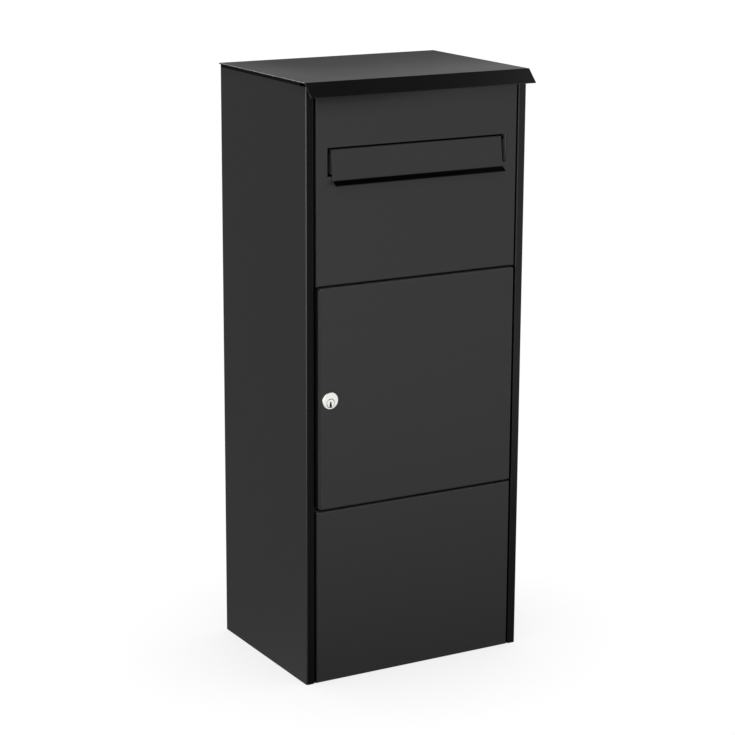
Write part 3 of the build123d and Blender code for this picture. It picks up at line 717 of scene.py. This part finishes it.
# %% [markdown]
# ## Tongues in the gaps
# A narrow gap runs down each side of the front panels, and a small tongue of sheet closes its foot, so
# that no light from the floor shines up in it. A tongue could be a box with its edges rounded. A circle
# squared by a power, stretched to the gap's width and the tongue's thickness and drawn along Y, has its
# corners rounded from the start.

# %% Gap tongues
# squared = (|cos(turn)|^8 + |sin(turn)|^8)^(-1/8) is the radius of the squared circle. The first row and
# the last row shrink to a point, which closes the ends.
gap_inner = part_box("lower_front_panel")[1][0] - 0.1 * millimetre
gap_outer = fold_inside - 1.7 * millimetre
tongue_front, tongue_back = flange_front + 1.0 * millimetre, flange_front + 15.0 * millimetre
tongue_thickness, corner_power, tongue_columns = 1.4 * millimetre, 8, 32
turn = turns(tongue_columns)
powers = np.abs(np.cos(turn)) ** corner_power + np.abs(np.sin(turn)) ** corner_power
squared = powers ** (-1 / corner_power)
reach = np.array([tongue_front, tongue_front, tongue_back, tongue_back])[:, None]
spread = np.array([0.0, 1.0, 1.0, 0.0])[:, None] * squared
tongue = np.stack([spread * np.cos(turn) * (gap_outer - gap_inner) / 2, reach + 0 * turn,
                   spread * np.sin(turn) * tongue_thickness / 2], axis=-1)
tongue_x = (gap_outer + gap_inner) / 2
tongue_places = places_at([-tongue_x, tongue_x], 0.0, tongue_thickness)
grid_piece("gap_tongues", tongue, tongue_places, False, inner_coat, "cabinet")

# %% [markdown]
# ## Welds
# The back is stitched to the sides with short beads of weld in the inner corners, under the coat. A bead
# is a round run of metal with a ripple for every drop, and it swells quickly from its two ends. It could
# be a beveled curve, but the ripple is a function along it, so a grid fits better. The door's stiffener
# is spot-welded through its feet, and each spot leaves a low ring where the electrode pressed.

# %% Weld stitches
# With run from 0 to 1 along the bead, its radius is stitch radius * swell * ripple, where
# swell = sqrt(1 - |2 run - 1|^10) and ripple = 1 + ripple depth * cos(2 pi * run * length / pitch).
stitch_length, stitch_radius = 28 * millimetre, 1.5 * millimetre
ripple_pitch, ripple_depth, end_power = 1.6 * millimetre, 0.06, 10
bead_rows, bead_columns = 121, 16
run = np.linspace(0.0, 1.0, bead_rows)[:, None]
turn = turns(bead_columns)
swell = np.sqrt(np.clip(1 - np.abs(2 * run - 1) ** end_power, 0.0, 1.0))
ripple = 1 + ripple_depth * np.cos(2 * np.pi * run * stitch_length / ripple_pitch)
bead_radius = stitch_radius * swell * ripple
bead = np.stack([bead_radius * np.cos(turn), bead_radius * np.sin(turn),
                 stitch_length * (run - 0.5) + 0 * turn], axis=-1)
bead_offset, sheet = 0.5 * millimetre, 1.5 * millimetre
corner_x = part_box("back_panel")[1][0] - sheet - bead_offset
corner_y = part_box("back_panel")[0][1] - bead_offset
stitch_heights = np.array([60, 160, 240, 330, 430, 530, 630, 730, 830, 920]) * millimetre
stitch_places = places_at([-corner_x, corner_x], corner_y, stitch_heights)
grid_piece("back_weld_stitches", bead, stitch_places, False, inner_coat, "cabinet")

# %% Spot welds
# With outwards from 0 in the middle to 1 at the edge, the ring's height is
# rim height * exp(-((outwards - rim place) / rim width)^2). The underside lies flat inside the sheet.
spot_radius, rim_height, spot_root = 3.2 * millimetre, 0.16 * millimetre, 0.4 * millimetre
rim_place, rim_width = 0.72, 0.16
rows_above, rows_below, spot_columns, spots_in_row = 17, 5, 28, 6
outwards = np.concatenate([np.linspace(0.0, 1.0, rows_above), np.linspace(1.0, 0.0, rows_below)])
outwards = outwards[:, None]
on_top = (np.arange(outwards.size) < rows_above)[:, None]
rim = rim_height * np.exp(-((outwards - rim_place) / rim_width) ** 2)
lift = np.where(on_top, rim, -spot_root)
turn = turns(spot_columns)
spot = np.stack([spot_radius * outwards * np.cos(turn), lift + 0 * turn,
                 spot_radius * outwards * np.sin(turn)], axis=-1)
brace_low, brace_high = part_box("door_stiffener")
side_inset, end_inset = 8.0 * millimetre, 25.0 * millimetre
foot_x, foot_y = brace_high[0] - side_inset, brace_low[1] + sheet
spot_heights = np.linspace(brace_low[2] + end_inset, brace_high[2] - end_inset, spots_in_row)
spot_places = places_at([-foot_x, foot_x], foot_y, spot_heights)
grid_piece("door_spot_welds", spot, spot_places, False, inner_coat, "door")

# %% [markdown]
# ## Plugs in the wall holes
# A box that stands free has no screws in its wall holes, so each one is closed by a black nylon plug
# pressed in from inside, with a low domed head and a hollow stem. It could be a stack of turned solids. A
# grid of one profile turned round the hole's axis makes it in one skin.

# %% Wall hole plugs
# The profile is pairs of radius and depth in millimetres, turned once round Y. The head is a quarter of an
# ellipse, and the stem runs down its outside, round its end and up its hollow to the axis.
head_radius, head_rise, head_rim, under_head = 6.5, 1.4, 0.2, -0.05
stem_radius, stem_end, lead_in, edge = 4.3, 1.3, 0.3, 0.05
tip_radius, lead_start, lead_stop = 3.9, 1.08, 1.28
mouth_radius, floor_radius, hollow_floor, hollow_edge = 3.3, 3.05, 0.6, 0.1
head_rows, plug_columns = 13, 32
quarter = np.linspace(0.0, np.pi / 2, head_rows)
head = np.stack([head_radius * np.sin(quarter), -head_rim - head_rise * np.cos(quarter)], axis=-1)
stem = [(head_radius, under_head - edge), (head_radius - edge, under_head),
        (stem_radius + edge, under_head), (stem_radius, under_head + edge),
        (stem_radius, stem_end - lead_in), (stem_radius - edge, lead_start),
        (stem_radius - lead_in, lead_stop), (tip_radius, stem_end)]
hollow = [(mouth_radius + hollow_edge, stem_end), (mouth_radius, stem_end - edge),
          (floor_radius, hollow_floor + edge), (floor_radius - hollow_edge, hollow_floor),
          (0.0, hollow_floor)]
radius, depth = (np.concatenate([head, stem, hollow]) * millimetre).T[:, :, None]
turn = turns(plug_columns)
plug = np.stack([radius * np.cos(turn), depth + 0 * turn, radius * np.sin(turn)], axis=-1)
hole_x, hole_heights = 130 * millimetre, np.array([350, 830]) * millimetre
hole_places = places_at([-hole_x, hole_x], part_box("back_panel")[0][1], hole_heights)
grid_piece("wall_hole_plugs", plug, hole_places, False, nylon, "cabinet")

# %% [markdown]
# ## The studio
# Black satin shows what stands around it, so the room matters as much as the paint. The floor is a plain
# pale sheet. To the camera it is white, with a soft shade where the box stands on it. In the gloss of the
# steel it is bright in front of the box and falls off behind it, as the floor of a studio lit from the
# front does. Lamps and screens could make that difference. Here the floor's material asks what kind of
# ray meets it, which needs neither.

# %% Floor
floor_half = 40.0
floor_mesh = bpy.data.meshes.new("studio_floor")
floor_corners = np.array([(-1, -1, 0), (1, -1, 0), (1, 1, 0), (-1, 1, 0)]) * floor_half
floor_mesh.from_pydata(floor_corners.tolist(), [], [(0, 1, 2, 3)])
floor = bpy.data.objects.new("studio_floor", floor_mesh)
bpy.context.scene.collection.objects.link(floor)

floor_paint, floor_tree, floor_shader = new_material("studio_floor")
floor_mesh.materials.append(floor_paint)
floor_shader.inputs["Base Color"].default_value = grey(0.8)
floor_shader.inputs["Roughness"].default_value = 0.9
floor_shader.inputs["Specular IOR Level"].default_value = 0.0
print("floor", 2 * floor_half, "m wide")

# %% Floor in the gloss
floor_x, floor_y = object_axes(floor_tree)[:2]
floor_depths, front_glow, back_glow = (-2.2, 0.4), 1.06, 0.266
floor_widths, left_part, right_part = (0.9, 1.8), 1.18, 0.83
behind_x, behind_y = (-0.35, 0.25), (0.2, 0.8)
beside_x, beside_y = (1.2, 2.0), (-0.9, -0.2)
far_glow = 0.9
open_glow = math_node(floor_tree, "MULTIPLY",
                      ramp(floor_tree, floor_y, *floor_depths, front_glow, back_glow),
                      ramp(floor_tree, floor_x, *floor_widths, left_part, right_part))
behind_box = both(floor_tree, ramp(floor_tree, floor_x, *behind_x), ramp(floor_tree, floor_y, *behind_y))
right_of_box = both(floor_tree, ramp(floor_tree, floor_x, *beside_x), ramp(floor_tree, floor_y, *beside_y))
gloss_glow = mix(floor_tree, either(floor_tree, behind_box, right_of_box), open_glow, far_glow, "FLOAT")
print("floor in the gloss from", front_glow, "to", back_glow)

# %% Floor to the camera
shade_reach, shade_depth, open_floor = 0.35, 0.3, 1.02
shade = node(floor_tree, "ShaderNodeAmbientOcclusion", samples=16)
shade.inputs["Distance"].default_value = shade_reach
seen_white = math_node(floor_tree, "MULTIPLY_ADD", shade.outputs["AO"], shade_depth,
                       open_floor - shade_depth)
ray = node(floor_tree, "ShaderNodeLightPath").outputs
plain_floor = node(floor_tree, "ShaderNodeEmission")
link(floor_tree, mix(floor_tree, ray["Is Camera Ray"], gloss_glow, seen_white, "FLOAT"),
     plain_floor.inputs["Strength"])
floor_mix = node(floor_tree, "ShaderNodeMixShader")
link(floor_tree, either(floor_tree, ray["Is Camera Ray"], ray["Is Glossy Ray"]), floor_mix.inputs["Fac"])
link(floor_tree, floor_shader.outputs[0], floor_mix.inputs[1])
link(floor_tree, plain_floor.outputs[0], floor_mix.inputs[2])
link(floor_tree, floor_mix.outputs[0], floor_tree.nodes["Material Output"].inputs["Surface"])
print("floor material", len(floor_tree.nodes), "nodes")

# %% [markdown]
# ## The room's light
# The room is bright all round at the level of the box, brightest in front, and dark overhead, which is
# what keeps the roof's drip lip black. To the camera the background is plain white. A picture of a studio
# could light the box. A few ramps over the direction can be read and changed one by one.

# %% World
world = bpy.data.worlds.new("studio")
bpy.context.scene.world = world
world.use_nodes = True
sky = world.node_tree
sky.nodes.clear()
sky_axes = node(sky, "ShaderNodeSeparateXYZ")
link(sky, node(sky, "ShaderNodeTexCoord").outputs["Generated"], sky_axes.inputs[0])
sky_x, sky_y, sky_z = sky_axes.outputs
print("world", world.name)

# %% Light by direction
level_to_top, level_light, top_light = (0.15, 0.80), 1.0, 0.03
front_to_back, front_light, back_light = (-0.6, 0.6), 1.1, 0.344
left_to_right, left_light, right_light = (0.35, 0.65), 0.96, 1.12
behind_span, right_span, right_gain = (0.3, 0.7), (0.46, 0.64), 0.35
overhead = ramp(sky, sky_z, *level_to_top, level_light, top_light)
around = math_node(sky, "MULTIPLY", ramp(sky, sky_y, *front_to_back, front_light, back_light),
                   ramp(sky, sky_x, *left_to_right, left_light, right_light))
back_right = math_node(sky, "MULTIPLY_ADD", ramp(sky, sky_y, *behind_span),
                       ramp(sky, sky_x, *right_span, 0.0, right_gain), 1.0)
brightness = math_node(sky, "MULTIPLY", overhead, math_node(sky, "MULTIPLY", around, back_right))
studio_light = node(sky, "ShaderNodeBackground")
studio_light.inputs["Color"].default_value = grey(1.0)
link(sky, brightness, studio_light.inputs["Strength"])
print("room light from", front_light, "in front to", back_light, "behind")

# %% Background
white = node(sky, "ShaderNodeBackground")
white.inputs["Color"].default_value = grey(1.0)
sky_mix = node(sky, "ShaderNodeMixShader")
link(sky, node(sky, "ShaderNodeLightPath").outputs["Is Camera Ray"], sky_mix.inputs["Fac"])
link(sky, studio_light.outputs[0], sky_mix.inputs[1])
link(sky, white.outputs[0], sky_mix.inputs[2])
link(sky, sky_mix.outputs[0], node(sky, "ShaderNodeOutputWorld").inputs["Surface"])
print("world", len(sky.nodes), "nodes")


# %% [markdown]
# ## Soft lamps
# A key light above the camera brings the front to a plain level. A low, wide softbox at the left draws
# the thin bright line down the fold at the box's front edge, one behind the box draws the line along the
# roof's end, one overhead lights the roof, and a small one at the right lifts that end of the drip lip.
# The camera sees none of the lamps. Bright cards would show the same in the gloss, but lamps give less
# grain.

# %% Lamps
def softbox(name, place, target, width, height, radiance):
    """A rectangular lamp that faces a point. Its power is pi * its area * how bright its face is."""
    data = bpy.data.lights.new(name, "AREA")
    data.shape = "RECTANGLE"
    data.size, data.size_y = width, height
    data.energy = np.pi * width * height * radiance
    lamp = bpy.data.objects.new(name, data)
    bpy.context.scene.collection.objects.link(lamp)
    lamp.location = place
    lamp.rotation_euler = (Vector(target) - Vector(place)).to_track_quat("-Z", "Y").to_euler()
    lamp.visible_camera = False


softbox("key_softbox", (-1.8, -2.5, 3.5), (0.0, 0.0, 0.55), width=2.0, height=2.0, radiance=6.0)
softbox("left_softbox", (-1.95, -1.10, 0.70), (-0.2, -0.15, 0.7), width=2.2, height=1.0, radiance=5.2)
softbox("back_softbox", (-0.45, 2.3, 2.25), (-0.2, 0.0, 0.98), width=0.9, height=0.5, radiance=8.5)
softbox("top_softbox", (0.0, 1.0, 3.2), (0.0, 0.0, 0.98), width=1.6, height=1.6, radiance=1.3)
softbox("lip_softbox", (1.9, -0.30, 2.6), (0.2, -0.16, 0.97), width=0.7, height=0.7, radiance=1.45)

# %% [markdown]
# ## Close
# Plain colours come out as they are with the standard view.

# %% View and close
bpy.context.scene.view_settings.view_transform = "Standard"
